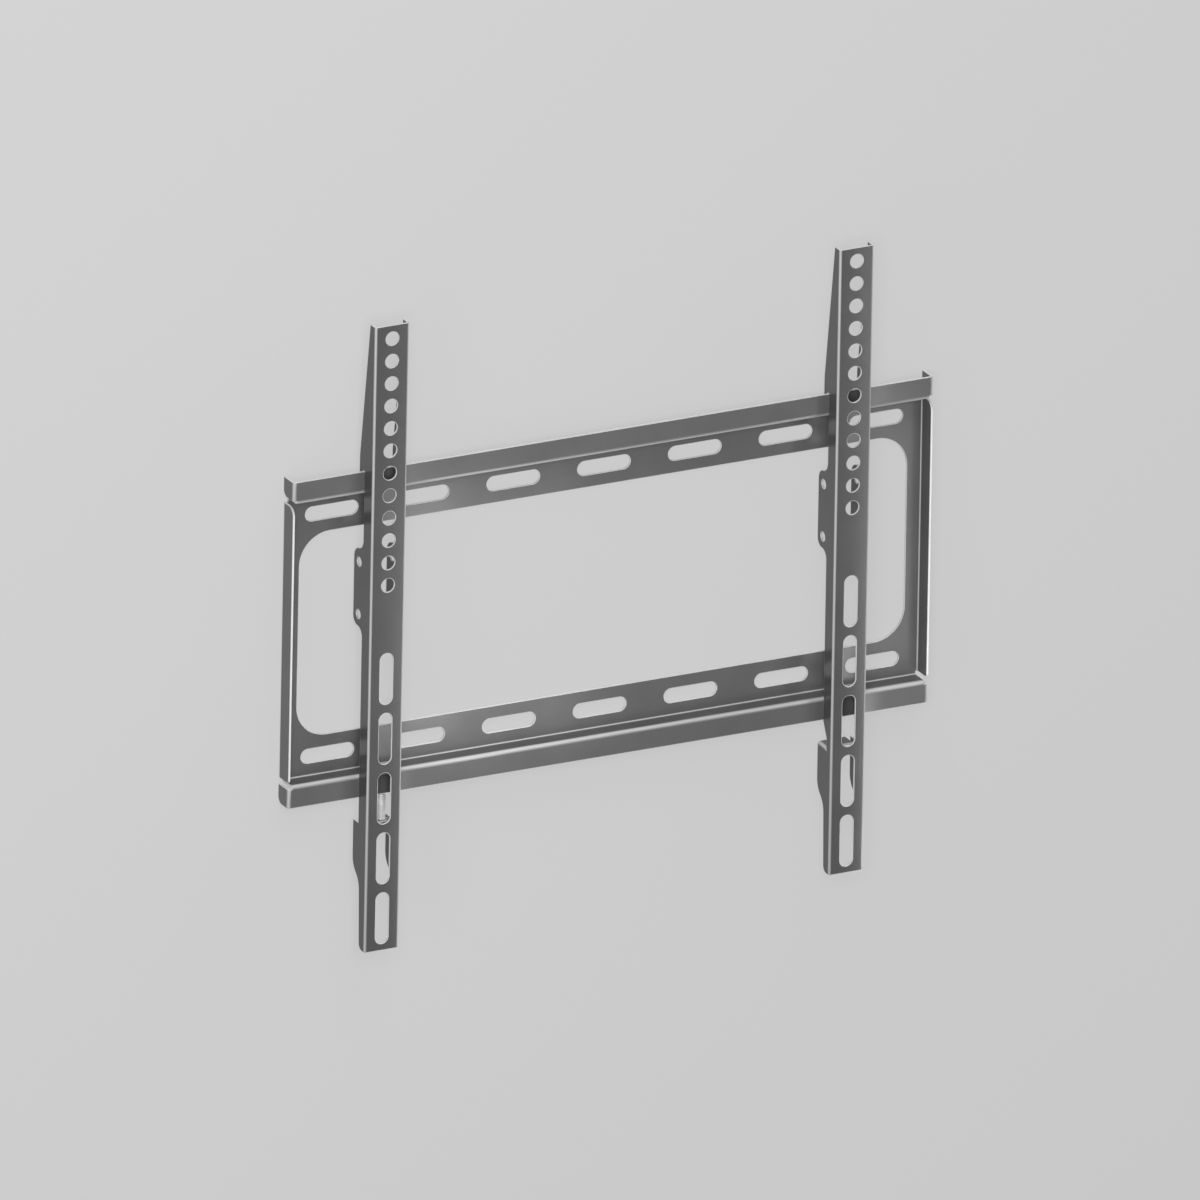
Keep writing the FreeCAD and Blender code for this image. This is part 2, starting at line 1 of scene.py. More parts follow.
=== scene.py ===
# %% [markdown]
# # A low-profile wall mount
# This lesson dresses a wall mount: a folded steel plate that is screwed to the wall, two slotted arms
# that hook over its top lip and slide along it, and a locking screw at the foot of each arm. The
# shapes come ready-made from a CAD model, so the work here is what a catalogue picture needs on top
# of them: soft edges, a powder coat, bright plated screws with a real thread, light and a camera.
#
# Every solid is already at its real size, in metres, with +Y into the wall and the origin in the
# middle of the plate's back. Nothing in Blender moves or resizes it, so its box is kept now.

# %% Load the frame
import math

import bmesh
import bpy
from mathutils import Matrix, Quaternion, Vector
from mathutils.bvhtree import BVHTree


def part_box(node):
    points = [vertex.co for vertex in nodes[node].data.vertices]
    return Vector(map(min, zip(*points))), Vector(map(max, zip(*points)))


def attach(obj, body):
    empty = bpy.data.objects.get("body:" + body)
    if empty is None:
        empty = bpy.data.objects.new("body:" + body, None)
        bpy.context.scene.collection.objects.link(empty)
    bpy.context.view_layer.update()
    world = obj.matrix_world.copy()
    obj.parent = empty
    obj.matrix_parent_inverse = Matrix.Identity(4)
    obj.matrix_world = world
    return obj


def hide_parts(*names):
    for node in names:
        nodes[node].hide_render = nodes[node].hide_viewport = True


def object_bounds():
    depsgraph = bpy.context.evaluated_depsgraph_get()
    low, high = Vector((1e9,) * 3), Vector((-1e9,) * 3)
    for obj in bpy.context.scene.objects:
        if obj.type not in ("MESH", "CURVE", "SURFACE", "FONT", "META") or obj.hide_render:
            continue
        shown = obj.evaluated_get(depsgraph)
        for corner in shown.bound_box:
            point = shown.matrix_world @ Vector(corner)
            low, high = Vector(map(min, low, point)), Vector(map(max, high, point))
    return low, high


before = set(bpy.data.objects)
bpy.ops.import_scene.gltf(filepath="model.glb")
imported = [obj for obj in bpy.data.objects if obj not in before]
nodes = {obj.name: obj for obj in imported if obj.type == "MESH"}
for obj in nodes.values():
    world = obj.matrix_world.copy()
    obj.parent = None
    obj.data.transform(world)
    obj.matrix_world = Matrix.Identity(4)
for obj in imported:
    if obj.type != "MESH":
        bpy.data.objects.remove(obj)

cad_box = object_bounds()
scene = bpy.context.scene
print("nodes:", ", ".join(sorted(nodes)))
print("CAD box:", [[round(value, 4) for value in corner] for corner in cad_box])

# %% [markdown]
# ## Camera
# The picture shows the mount with its upright edges parallel and its long edges parallel, so it was
# drawn without perspective. A perspective camera with a long lens would come close, but an
# orthographic one matches it exactly and needs no lens at all: only the direction that it looks from,
# how many pixels a metre takes, and the pixel where the origin shows. The drawing leans by about a
# degree, so the camera rolls by that much round its own view axis.

# %% Camera
IMAGE_PIXELS = 1200
PIXELS_PER_METRE = 1603.2
ORIGIN_PIXEL = (600.7, 585.5)
AZIMUTH = math.radians(-27.3)
ELEVATION = math.radians(21.1)
ROLL = math.radians(1.04)
CAMERA_DISTANCE = 2.0
TOWARDS_CAMERA = Vector((
    math.sin(AZIMUTH) * math.cos(ELEVATION),
    -math.cos(AZIMUTH) * math.cos(ELEVATION),
    math.sin(ELEVATION),
))


def add_camera():
    """An orthographic camera that frames the mount as the picture does."""
    turn = (-TOWARDS_CAMERA).to_track_quat("-Z", "Y") @ Quaternion((0, 0, 1), ROLL)
    right, up = turn @ Vector((1, 0, 0)), turn @ Vector((0, 1, 0))
    middle = IMAGE_PIXELS / 2
    aim = right * (middle - ORIGIN_PIXEL[0]) + up * (ORIGIN_PIXEL[1] - middle)
    data = bpy.data.cameras.new("camera")
    data.type = "ORTHO"
    data.ortho_scale = IMAGE_PIXELS / PIXELS_PER_METRE
    camera = bpy.data.objects.new("camera", data)
    camera.location = aim / PIXELS_PER_METRE + TOWARDS_CAMERA * CAMERA_DISTANCE
    camera.rotation_mode = "QUATERNION"
    camera.rotation_quaternion = turn
    scene.collection.objects.link(camera)
    return camera


scene.camera = add_camera()
print("camera sees", round(scene.camera.data.ortho_scale, 4), "m across")

# %% [markdown]
# ## Stage
# The mount belongs on a wall, so it hangs on a pale studio sweep: a wall that curves into a floor with
# no line between them. A floor and a wall as two planes would show a hard corner. Here three points
# make an L, the L is extruded sideways, and a bevel along its one fold makes the curve.

# %% Sweep
WALL_GAP = 0.0005
FLOOR_DROP = 1.1
SWEEP_RADIUS = 0.30
SWEEP_SEGMENTS = 24
SWEEP_REACH = 4.0
INTO_ROOM = Vector((0, -1, 1))


def new_object(name, shape):
    """An object made of a bmesh, which is used up."""
    mesh = bpy.data.meshes.new(name)
    shape.to_mesh(mesh)
    shape.free()
    item = bpy.data.objects.new(name, mesh)
    scene.collection.objects.link(item)
    return item


def add_sweep():
    """The floor and the wall as one sheet, curved where they meet, facing the mount."""
    wall_y = cad_box[1].y + WALL_GAP
    floor_z = cad_box[0].z - FLOOR_DROP
    places = [(-SWEEP_REACH, floor_z), (wall_y, floor_z), (wall_y, SWEEP_REACH)]
    shape = bmesh.new()
    corners = [shape.verts.new((-SWEEP_REACH, y, z)) for y, z in places]
    profile = [shape.edges.new(pair) for pair in zip(corners, corners[1:])]
    grown = bmesh.ops.extrude_edge_only(shape, edges=profile)["geom"]
    moved = [part for part in grown if isinstance(part, bmesh.types.BMVert)]
    bmesh.ops.translate(shape, verts=moved, vec=(2 * SWEEP_REACH, 0, 0))
    fold = [edge for edge in shape.edges if len(edge.link_faces) == 2]
    bmesh.ops.bevel(shape, geom=fold, offset=SWEEP_RADIUS, offset_type="OFFSET", affect="EDGES",
                    segments=SWEEP_SEGMENTS, profile=0.5, material=-1)
    bmesh.ops.recalc_face_normals(shape, faces=shape.faces)
    if shape.faces[:][0].normal.dot(INTO_ROOM) < 0:
        bmesh.ops.reverse_faces(shape, faces=shape.faces)
    for face in shape.faces:
        face.smooth = True
    return new_object("sweep", shape)


sweep = add_sweep()
print("sweep:", len(sweep.data.polygons), "faces")

# %% [markdown]
# ## Building materials
# A material is a small graph of nodes. Three helpers keep the graphs readable: one starts an empty
# graph, one adds a node and sets its values by name, and one joins an output to an input.

# %% Material helpers
def new_material(name):
    """A material with an empty node graph, and the node that ends it."""
    material = bpy.data.materials.new(name)
    material.use_nodes = True
    material.node_tree.nodes.clear()
    end = material.node_tree.nodes.new("ShaderNodeOutputMaterial")
    return material, material.node_tree, end


def add_node(tree, kind, settings=None, **inputs):
    """A node with its settings, and its inputs by name with underscores for spaces."""
    node = tree.nodes.new(kind)
    for name, value in (settings or {}).items():
        setattr(node, name, value)
    for name, value in inputs.items():
        node.inputs[name.replace("_", " ")].default_value = value
    return node


def join(tree, source, output, target, socket):
    """A link from one node's output to another node's input."""
    tree.links.new(source.outputs[output], target.inputs[socket])


print("helpers: new_material, add_node, join")

# %% [markdown]
# ## Sweep paint
# A studio sweep is painted matt. This one would hide the mount from behind and keep light off the
# plate's back. It could be left out of those pictures, but one script has to serve every view. So its
# material is see-through from its rear side, and for every ray that isn't on its way to the camera
# straight or by way of a reflection. What the camera sees from the front is still a solid wall. Most
# of its paint glows with its own colour, as a wall does that has lamps of its own, so it keeps the
# mount's shadow but only as a soft one.

# %% Sweep paint
SWEEP_COLOUR = (0.61, 0.61, 0.61, 1)
SWEEP_GLOW = 0.80


def add_seen(tree):
    """A value of 1 for rays from the camera, straight or by way of a reflection, and 0 for other light."""
    path = add_node(tree, "ShaderNodeLightPath")
    mirrored = add_node(tree, "ShaderNodeMath", {"operation": "MAXIMUM"})
    seen = add_node(tree, "ShaderNodeMath", {"operation": "MAXIMUM"})
    join(tree, path, "Is Glossy Ray", mirrored, 0)
    join(tree, path, "Is Transmission Ray", mirrored, 1)
    join(tree, path, "Is Camera Ray", seen, 0)
    join(tree, mirrored, "Value", seen, 1)
    return seen


def paint_sweep():
    """Matt pale paint that only the camera and reflections see, and only from the front."""
    material, tree, end = new_material("pale_sweep")
    matt = add_node(tree, "ShaderNodeBsdfDiffuse", Color=SWEEP_COLOUR)
    glow = add_node(tree, "ShaderNodeEmission", Color=SWEEP_COLOUR)
    paint = add_node(tree, "ShaderNodeMixShader", Fac=SWEEP_GLOW)
    clear = add_node(tree, "ShaderNodeBsdfTransparent")
    side = add_node(tree, "ShaderNodeNewGeometry")
    front = add_node(tree, "ShaderNodeMath", {"operation": "SUBTRACT", "use_clamp": True})
    mix = add_node(tree, "ShaderNodeMixShader")
    join(tree, add_seen(tree), "Value", front, 0)
    join(tree, side, "Backfacing", front, 1)
    join(tree, front, "Value", mix, "Fac")
    join(tree, matt, "BSDF", paint, 1)
    join(tree, glow, "Emission", paint, 2)
    join(tree, clear, "BSDF", mix, 1)
    join(tree, paint, "Shader", mix, 2)
    join(tree, mix, "Shader", end, "Surface")
    return material


sweep.data.materials.append(paint_sweep())
print("sweep paint:", sweep.data.materials[0].name)

# %% [markdown]
# ## Light
# Powder coat is judged by its soft highlights, so the light comes from large panels rather than from
# bulbs. The key panel stands in the camera's own direction, so that it reaches into the holes and
# channels that the camera looks into. One overhead lights the ledges of the rails, a tall one on the
# left draws a bright line down the folds that face it, one on the right fills the other sides, and one
# behind is for pictures of the plate's back. The panels that only fill stay out of reflections, where
# they would glare.

# %% Panels
CENTRE = Vector((0, 0, 0))
KEY_DISTANCE = 2.1
PANELS = {
    # name: (offset from the centre, width and height, watts)
    "key_panel": (TOWARDS_CAMERA * KEY_DISTANCE, (1.0, 1.0), 30.0),
    "top_panel": (Vector((0, -0.7, 1.5)), (1.2, 0.8), 10.0),
    "left_panel": (Vector((-1.70, -0.75, -0.40)), (0.5, 1.6), 8.0),
    "right_panel": (Vector((1.80, -0.35, 0.50)), (0.5, 1.6), 8.0),
    "rear_panel": (Vector((-0.4, 1.6, 1.0)), (1.2, 1.2), 14.0),
}
FILLS = ("top_panel", "right_panel", "rear_panel")


def add_lamp(name, aim, offset, size, watts):
    """A rectangular lamp that faces the place it is aimed at and doesn't show itself."""
    data = bpy.data.lights.new(name, "AREA")
    data.shape = "RECTANGLE"
    data.size, data.size_y = size
    data.energy = watts
    lamp = bpy.data.objects.new(name, data)
    lamp.location = aim + offset
    lamp.rotation_mode = "QUATERNION"
    lamp.rotation_quaternion = (-offset).to_track_quat("-Z", "Y")
    lamp.visible_camera = False
    scene.collection.objects.link(lamp)
    return lamp


for name, (offset, size, watts) in PANELS.items():
    panel = add_lamp(name, CENTRE, offset, size, watts)
    panel.visible_glossy = name not in FILLS
print("panels:", ", ".join(PANELS))

# %% [markdown]
# ## Sheen
# A flat face seen without perspective mirrors only one direction, so far lamps can't give it any
# gradient. Narrow strips therefore stand close by, where the front faces mirror them to the camera.
# Three are about as tall as the plate's web, so that the web gets soft bands of sheen while the lips
# above and below it stay dark: a bright one beside the left arm, a wide faint one next to it as the
# band's tail, and one at the plate's right end. Two slim ones are as tall as the arms and stand just
# past each arm's right edge, so that the arm's face runs from dark on its left to light on its right.
#
# Lamps this close would leave bright patches on the sweep. Turning them down would lose the sheen too,
# so light linking is used instead: the sweep is left out of what the strips light.

# %% Strips
MIRRORED = Vector((-TOWARDS_CAMERA.x, TOWARDS_CAMERA.y, -TOWARDS_CAMERA.z))
STRIP_DISTANCE = 0.15
STRIP_SIZE = (0.045, 0.16)
TAIL_SIZE = (0.10, 0.16)
LEFT_BAND = Vector((-0.128, 0, 0.006))
LEFT_TAIL = Vector((-0.075, 0, 0.006))
RIGHT_BAND = Vector((0.203, 0, 0.006))
GLEAM_DISTANCE = 0.10
GLEAM_SIZE = (0.012, 0.46)
GLEAM_OFFSET = 0.008


def beside(arm):
    """A place just past an arm's right edge, in the plane of its front."""
    low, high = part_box(arm)
    return Vector((high[0] + GLEAM_OFFSET, low[1], 0))


STRIPS = {
    # name: (where the camera sees it mirrored, distance from there, width and height, watts)
    "left_strip": (LEFT_BAND, STRIP_DISTANCE, STRIP_SIZE, 0.070),
    "left_tail": (LEFT_TAIL, STRIP_DISTANCE, TAIL_SIZE, 0.040),
    "right_strip": (RIGHT_BAND, STRIP_DISTANCE, STRIP_SIZE, 0.024),
    "left_gleam": (beside("left_arm"), GLEAM_DISTANCE, GLEAM_SIZE, 0.045),
    "right_gleam": (beside("right_arm"), GLEAM_DISTANCE, GLEAM_SIZE, 0.105),
}


def all_but(item):
    """A light-linking collection that takes in everything except one object."""
    linked = bpy.data.collections.new(f"all_but_{item.name}")
    linked.objects.link(item)
    linked.collection_objects[0].light_linking.link_state = "EXCLUDE"
    return linked


all_but_sweep = all_but(sweep)
for name, (place, distance, size, watts) in STRIPS.items():
    strip = add_lamp(name, place, MIRRORED * distance, size, watts)
    strip.light_linking.receiver_collection = all_but_sweep
print("strips:", ", ".join(STRIPS))

# %% [markdown]
# ## World
# An even, pale world fills in what the lamps leave dark. A picture of a room could light it too, but it
# would put its own windows into the reflections. The sum of the world and the lamps is about one, so a
# colour shows about as bright as it is written. Seen straight or in a reflection the world looks like
# the sweep, so that a picture from behind has the same pale ground.

# %% World
WORLD_LIGHT = 0.24
WHITE = (1, 1, 1, 1)


def light_world():
    """An even pale light from all round, which itself looks like the sweep."""
    world = bpy.data.worlds.new("studio")
    world.use_nodes = True
    tree = world.node_tree
    tree.nodes.clear()
    end = add_node(tree, "ShaderNodeOutputWorld")
    light = add_node(tree, "ShaderNodeBackground", Color=WHITE, Strength=WORLD_LIGHT)
    backdrop = add_node(tree, "ShaderNodeBackground", Color=SWEEP_COLOUR)
    mix = add_node(tree, "ShaderNodeMixShader")
    join(tree, add_seen(tree), "Value", mix, "Fac")
    join(tree, light, "Background", mix, 1)
    join(tree, backdrop, "Background", mix, 2)
    join(tree, mix, "Shader", end, "Surface")
    return world


scene.world = light_world()
scene.view_settings.view_transform = "Standard"
print("world:", scene.world.name)

# %% [markdown]
# ## Uneven finish
# No factory finish is one flat colour. Powder melts into a skin with a fine pebbled grain and broad,
# faint patches where it lies thicker, and zinc plate has the same two scales, only finer. Both
# materials share that effect, so it is a node group, built once: it takes two sizes and gives a broad
# mask and a fine height, both from noise on Object coordinates. A picture of a coated sheet would do
# the same, but it would need unwrapping and would show its seams. Noise keeps near its middle, so a
# Map Range node spreads that part over the whole range from 0 to 1.

# %% Uneven finish group
USUAL_PATCH = 0.04
USUAL_GRAIN = 0.001
PATCH_DETAIL = 3.0
GRAIN_DETAIL = 2.0
NOISE_ROUGHNESS = 0.6
NOISE_LOW, NOISE_HIGH = 0.3, 0.7


def build_uneven_finish():
    """A group that gives broad patches and a fine grain, from 0 to 1, at sizes in metres."""
    group = bpy.data.node_groups.new("uneven_finish", "ShaderNodeTree")
    for name, size in (("Patch Size", USUAL_PATCH), ("Grain Size", USUAL_GRAIN)):
        socket = group.interface.new_socket(name, in_out="INPUT", socket_type="NodeSocketFloat")
        socket.default_value = size
    for name in ("Patches", "Grain"):
        group.interface.new_socket(name, in_out="OUTPUT", socket_type="NodeSocketFloat")
    start = add_node(group, "NodeGroupInput")
    end = add_node(group, "NodeGroupOutput")
    place = add_node(group, "ShaderNodeTexCoord")
    scales = (("Patch Size", "Patches", PATCH_DETAIL), ("Grain Size", "Grain", GRAIN_DETAIL))
    for size, output, detail in scales:
        per_metre = add_node(group, "ShaderNodeMath", {"operation": "DIVIDE"})
        per_metre.inputs[0].default_value = 1.0
        noise = add_node(group, "ShaderNodeTexNoise", Detail=detail, Roughness=NOISE_ROUGHNESS)
        spread = add_node(group, "ShaderNodeMapRange", From_Min=NOISE_LOW, From_Max=NOISE_HIGH)
        join(group, start, size, per_metre, 1)
        join(group, per_metre, "Value", noise, "Scale")
        join(group, place, "Object", noise, "Vector")
        join(group, noise, "Fac", spread, "Value")
        join(group, spread, "Result", end, output)
    return group


uneven_finish = build_uneven_finish()
print("group:", uneven_finish.name, [item.name for item in uneven_finish.interface.items_tree])

# %% [markdown]
# ## Painted highlight on the folds
# Each fold is painted paler than the flats beside it, as a painted highlight along the fold. A fold
# could get a material of its own, but that would end in a hard line. The direction of the surface tells
# it better: every flat of these sheets faces along an axis, and round a fold the normal swings from one
# axis to the next. The group squares each part of the normal, takes the dot product of the result with
# itself, and so gets 1 on a flat and one half in the middle of a fold. What comes out is a mask of 0 on
# the flats that rises softly to 1 along the middle of each fold, where the coats mix in the pale tone of
# the painted highlight.

# %% Fold mask group
ON_FLAT, MID_FOLD = 1.0, 0.5


def build_fold_highlight_mask():
    """A group that gives 0 on faces along an axis and 1 where a fold looks midway between two axes."""
    group = bpy.data.node_groups.new("fold_highlight_mask", "ShaderNodeTree")
    group.interface.new_socket("Fold", in_out="OUTPUT", socket_type="NodeSocketFloat")
    end = add_node(group, "NodeGroupOutput")
    place = add_node(group, "ShaderNodeTexCoord")
    square = add_node(group, "ShaderNodeVectorMath", {"operation": "MULTIPLY"})
    fourth = add_node(group, "ShaderNodeVectorMath", {"operation": "DOT_PRODUCT"})
    swing = add_node(group, "ShaderNodeMapRange", From_Min=ON_FLAT, From_Max=MID_FOLD)
    soft = add_node(group, "ShaderNodeMath", {"operation": "SQRT"})
    for slot in (0, 1):
        join(group, place, "Normal", square, slot)
        join(group, square, "Vector", fourth, slot)
    join(group, fourth, "Value", swing, "Value")
    join(group, swing, "Result", soft, 0)
    join(group, soft, "Value", end, "Fold")
    return group


fold_highlight_mask = build_fold_highlight_mask()
print("group:", fold_highlight_mask.name)

# %% [markdown]
# ## Powder coat
# The plate and the arms are sprayed with a charcoal powder and baked. The coat is satin: dark, a
# little lighter where the grain stands up, with a roughness that follows the grain and a bump that is
# only about a hundredth of a millimetre high. The arms are a shade darker than the plate, because the
# strips give their faces more sheen. On cut edges the melted powder draws back and lies thinner, so an
# edge looks a little lighter than the face beside it. The edges could be left to catch the light, but
# those in shade would be lost, so they get a third coat from the same function with far lighter tones:
# partly thin coat, and mostly a painted highlight that keeps them bright in shade too.

# %% Powder coat
POWDER_GRAIN = 0.0005
POWDER_PATCH = 0.045
POWDER_BUMP = 0.000012
POWDER_GLOSS = (0.18, 0.26)
POWDER_IOR = 1.5
GRAIN_SHARE = 0.35
# pale tone of the painted highlight along the folds
FOLD_HIGHLIGHT_TONE = (0.42, 0.42, 0.425)
PLATE_TONES = ((0.085, 0.084, 0.086), (0.110, 0.109, 0.112))
ARM_TONES = ((0.051, 0.0505, 0.052), (0.067, 0.0665, 0.069))
# pale edge tones: partly thin coat, mostly a painted highlight
EDGE_WEAR_AND_HIGHLIGHT_TONES = ((0.62, 0.62, 0.625), (0.76, 0.76, 0.765))


def add_finish(tree, patch_size, grain_size):
    """The uneven finish group in a material, at its own sizes."""
    finish = add_node(tree, "ShaderNodeGroup", {"node_tree": uneven_finish})
    finish.inputs["Patch Size"].default_value = patch_size
    finish.inputs["Grain Size"].default_value = grain_size
    return finish


def add_ramp(tree, dark, light):
    """A ramp between two colours."""
    ramp = add_node(tree, "ShaderNodeValToRGB")
    ramp.color_ramp.elements[0].color = (*dark, 1)
    ramp.color_ramp.elements[1].color = (*light, 1)
    return ramp


def add_gloss(tree, finish, limits):
    """A roughness between two limits that follows the grain."""
    gloss = add_node(tree, "ShaderNodeMapRange", To_Min=limits[0], To_Max=limits[1])
    join(tree, finish, "Grain", gloss, "Value")
    return gloss


def powder_coat(name, tones):
    """Satin powder coat between two tones, with a painted highlight round the folds."""
    material, tree, end = new_material(name)
    finish = add_finish(tree, POWDER_PATCH, POWDER_GRAIN)
    tone = add_node(tree, "ShaderNodeMix", {"data_type": "FLOAT"}, Factor=GRAIN_SHARE)
    ramp = add_ramp(tree, *tones)
    fold = add_node(tree, "ShaderNodeGroup", {"node_tree": fold_highlight_mask})
    # painted highlight: the fold mask mixes the pale fold tone over the coat
    painted_fold_highlight = add_node(tree, "ShaderNodeMixRGB", Color2=(*FOLD_HIGHLIGHT_TONE, 1))
    bump = add_node(tree, "ShaderNodeBump", Distance=POWDER_BUMP)
    coat = add_node(tree, "ShaderNodeBsdfPrincipled", IOR=POWDER_IOR)
    join(tree, finish, "Patches", tone, "A")
    join(tree, finish, "Grain", tone, "B")
    join(tree, tone, "Result", ramp, "Fac")
    join(tree, fold, "Fold", painted_fold_highlight, "Fac")
    join(tree, ramp, "Color", painted_fold_highlight, "Color1")
    join(tree, finish, "Grain", bump, "Height")
    join(tree, painted_fold_highlight, "Color", coat, "Base Color")
    join(tree, add_gloss(tree, finish, POWDER_GLOSS), "Result", coat, "Roughness")
    join(tree, bump, "Normal", coat, "Normal")
    join(tree, coat, "BSDF", end, "Surface")
    return material


plate_coat = powder_coat("plate_powder_coat", PLATE_TONES)
arm_coat = powder_coat("arm_powder_coat", ARM_TONES)
# the edge coat: thin coat and a painted highlight along cut and rounded edges
edge_wear_and_highlight_coat = powder_coat("thin_coat_and_painted_highlight", EDGE_WEAR_AND_HIGHLIGHT_TONES)
print("coats:", plate_coat.name, arm_coat.name, edge_wear_and_highlight_coat.name)

# %% [markdown]
# ## Cut edges
# Each sheet was punched and cut, and along the cuts the coat is thin. The cut faces get the pale edge
# coat, which is partly that thin coat and partly a painted highlight. The faces could be picked by hand,
# but their geometry tells them apart. Behind a face of the sheet there is always a second face one
# sheet's thickness further in, and a ray finds it; behind a cut face there is none so near. Only the
# faces' material changes, so the CAD mesh stays as it is.

# %% Cut edges
SHEET = {"wall_plate": 0.0015, "left_arm": 0.0012, "right_arm": 0.0012}
COAT, CUT = 0, 1
RAY_START = 1e-6
RAY_REACH = 1.5


def mark_cuts(item, sheet):
    """Gives each face of a folded sheet the material of the coat or of a cut."""
    mesh = item.data
    solid = BVHTree.FromPolygons([corner.co for corner in mesh.vertices],
                                 [face.vertices[:] for face in mesh.polygons])
    kinds = []
    for face in mesh.polygons:
        inwards = -face.normal
        hit = solid.ray_cast(face.center + inwards * RAY_START, inwards, sheet * RAY_REACH)
        kinds.append(CUT if hit[0] is None else COAT)
    mesh.polygons.foreach_set("material_index", kinds)
    return kinds.count(CUT)


for name, sheet in SHEET.items():
    nodes[name].data.materials.clear()
    for coat in (plate_coat if name == "wall_plate" else arm_coat, edge_wear_and_highlight_coat):
        nodes[name].data.materials.append(coat)
    print(name, "has", mark_cuts(nodes[name], sheet), "cut faces")

# %% [markdown]
# ## Soft edges on the folded sheets
# A punched sheet has crisp edges, but the coat rounds them, and it is that thin bright line that makes
# an edge read as metal. The CAD meshes are loose triangles with sharp edges. A copy could be rounded
# by hand, but modifiers leave the CAD mesh as it is: Weld joins the triangles, a planar Decimate takes
# away the lines across flat faces, and Bevel rounds every edge that turns by more than the limit, and
# gives the new faces the pale edge material, so that bright line is partly a painted highlight.
#
# The plate is welded over a larger distance than the arms. Where the folds of its lips end, its
# triangles leave a few steps of 0.05 mm, and those would bevel into spikes. Loop slide is off, because
# it would drag a hole's new edge along the flat lines that run from hole to hole.

# %% Soft edges
EDGE_WIDTH = 0.00035
EDGE_SEGMENTS = 3
EDGE_ANGLE = math.radians(40)
FLAT_ANGLE = math.radians(0.1)
JOIN_DISTANCE = {"wall_plate": 6e-5, "left_arm": 1e-6, "right_arm": 1e-6}


def soften_edges(item, join_distance):
    """Weld, planar Decimate and Bevel on a CAD node, with edge faces in the second material."""
    weld = item.modifiers.new("join_triangles", "WELD")
    weld.merge_threshold = join_distance
    flat = item.modifiers.new("flat_faces", "DECIMATE")
    flat.decimate_type = "DISSOLVE"
    flat.angle_limit = FLAT_ANGLE
    flat.delimit = {"MATERIAL"}
    bevel = item.modifiers.new("soft_edges", "BEVEL")
    bevel.width = EDGE_WIDTH
    bevel.segments = EDGE_SEGMENTS
    bevel.limit_method = "ANGLE"
    bevel.angle_limit = EDGE_ANGLE
    bevel.use_clamp_overlap = False
    bevel.loop_slide = False
    # bevel faces get the pale edge coat, in part a painted highlight
    bevel.material = CUT
    bevel.harden_normals = True


for name, join_distance in JOIN_DISTANCE.items():
    soften_edges(nodes[name], join_distance)
print("softened:", ", ".join(JOIN_DISTANCE))

# %% [markdown]
# ## Thread of the locking screws
# The screw at each arm's foot is an M6 pan-head screw with a cross recess, threaded right up to the
# head. In the CAD model its shaft is plain, so a piece with a real thread replaces it. A texture could
# draw the thread, but its zigzag outline shows against the light. Blender's Screw modifier could wind
# it too. Here `spin` does, because it takes a rise for each step: one pitch of the thread's profile is
# spun round the axis, each turn lands on the end of the turn before, and merging the doubles makes one
# skin. A few turns to spare are wound, and two cuts by `bisect_plane` trim the thread to length. The
# screw is made with its seat at zero and the head below, and is moved to its place at the end.
#
# The profile is the usual metric one: flat crests an eighth of a pitch wide, and flat roots a quarter
# of a pitch wide.

# %% Thread
SCREW_RADIUS = 0.003
THREAD_PITCH = 0.001
DEPTH_PER_PITCH = 0.61
THREAD_ROOT = SCREW_RADIUS - DEPTH_PER_PITCH * THREAD_PITCH
HALF_CREST = THREAD_PITCH / 16
HALF_ROOT = THREAD_PITCH / 8
THREAD_STEPS = 48
SPARE_BELOW, SPARE_ABOVE = 2, 1
NECK_LENGTH = 0.0006
POINT_LENGTH = 0.0008
MERGE_DISTANCE = 1e-6


def loop_at(shape, height):
    """The open edges of a shape that lie at one height."""
    return [edge for edge in shape.edges if edge.is_boundary
            and all(abs(corner.co.z - height) < MERGE_DISTANCE for corner in edge.verts)]


def wind_thread(shape, low, high):
    """A right-hand thread between two heights, open at both ends."""
    middle = THREAD_PITCH / 2
    profile = [(THREAD_ROOT, 0), (THREAD_ROOT, HALF_ROOT),
               (SCREW_RADIUS, middle - HALF_CREST), (SCREW_RADIUS, middle + HALF_CREST),
               (THREAD_ROOT, THREAD_PITCH - HALF_ROOT), (THREAD_ROOT, THREAD_PITCH)]
    foot = low - SPARE_BELOW * THREAD_PITCH
    corners = [shape.verts.new((radius, 0, foot + height)) for radius, height in profile]
    lines = [shape.edges.new(pair) for pair in zip(corners, corners[1:])]
    turns = math.ceil((high - low) / THREAD_PITCH) + SPARE_BELOW + SPARE_ABOVE
    bmesh.ops.spin(shape, geom=corners + lines, cent=(0, 0, 0), axis=(0, 0, 1), angle=math.tau * turns,
                   dvec=(0, 0, THREAD_PITCH / THREAD_STEPS), steps=turns * THREAD_STEPS)
    bmesh.ops.remove_doubles(shape, verts=shape.verts, dist=MERGE_DISTANCE)
    for height, outwards in ((low, -1), (high, 1)):
        everything = shape.verts[:] + shape.edges[:] + shape.faces[:]
        bmesh.ops.bisect_plane(shape, geom=everything, plane_co=(0, 0, height),
                               plane_no=(0, 0, outwards), clear_outer=True)


def point_tip(shape, high):
    """Turns the thread's end down to a short cone, and closes it."""
    for corner in shape.verts:
        limit = SCREW_RADIUS - max(0, corner.co.z - (high - POINT_LENGTH))
        reach = corner.co.xy.length
        if reach > limit:
            corner.co.xy *= limit / reach
    bmesh.ops.holes_fill(shape, edges=loop_at(shape, high))


print("thread: root radius", round(THREAD_ROOT * 1000, 2), "mm, pitch", THREAD_PITCH * 1000, "mm")

